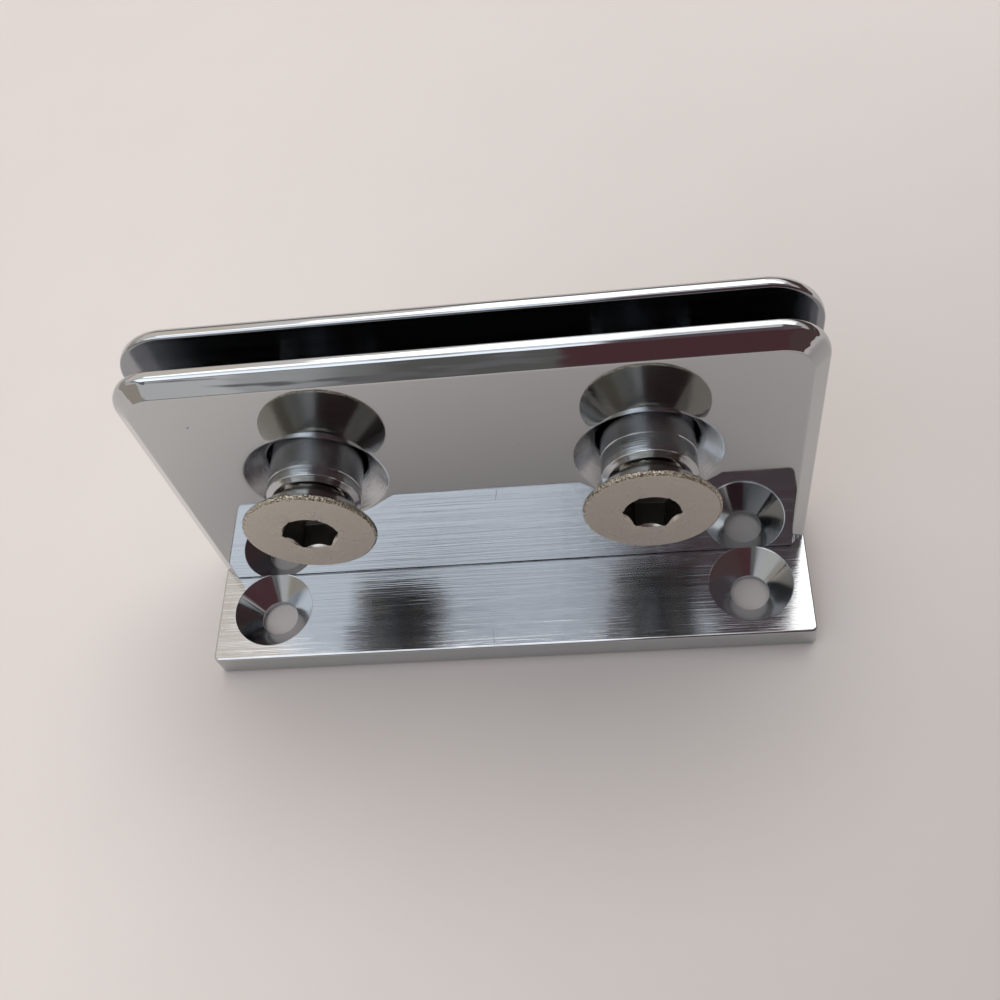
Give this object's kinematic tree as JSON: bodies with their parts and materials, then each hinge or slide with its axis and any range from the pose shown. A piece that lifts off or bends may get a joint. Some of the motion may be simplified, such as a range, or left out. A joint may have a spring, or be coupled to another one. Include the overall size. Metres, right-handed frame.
{
  "type": "glass door hinge",
  "caption": "Fixed wall-to-glass door hinge: chromed angle bracket with a loose bevelled clamp cover on threaded posts, drawn up by countersunk hexagon-socket screws.",
  "frame": {"origin": "centre of the wall leg's footprint, on the wall face", "axes": "+X along the width, +Y from the leg's free edge to the back plate, +Z out from the wall"},
  "size_m": [0.08, 0.022, 0.048],
  "materials": {
    "plated_bracket": "bright chrome over brass, brushed along the width on the leg and in the slot",
    "mirror_cover": "mirror-polished bright chrome over brass",
    "turned_post": "bright chrome over turned brass, fine lathe rings left showing",
    "nickel_screw": "satin nickel plate on steel, a little pitted at the head's edge"
  },
  "bodies": {
    "bracket": {"bracket_body": "plated_bracket", "post_left": "turned_post", "post_right": "turned_post"},
    "cover": {"cover_plate": "mirror_cover"},
    "screw_left": {"clamp_screw_left": "nickel_screw"},
    "screw_right": {"clamp_screw_right": "nickel_screw"}
  },
  "joints": [
    {"name": "cover_slide", "type": "slide", "parent": "bracket", "child": "cover", "axis": [0, -1, 0], "range_m": [-0.0025, 0.0073]},
    {"name": "screw_left_travel", "type": "slide", "parent": "bracket", "child": "screw_left", "axis": [0, -1, 0], "range_m": [-0.0005, 0.005]},
    {"name": "screw_right_travel", "type": "slide", "parent": "bracket", "child": "screw_right", "axis": [0, -1, 0], "range_m": [-0.0005, 0.005]}
  ]
}
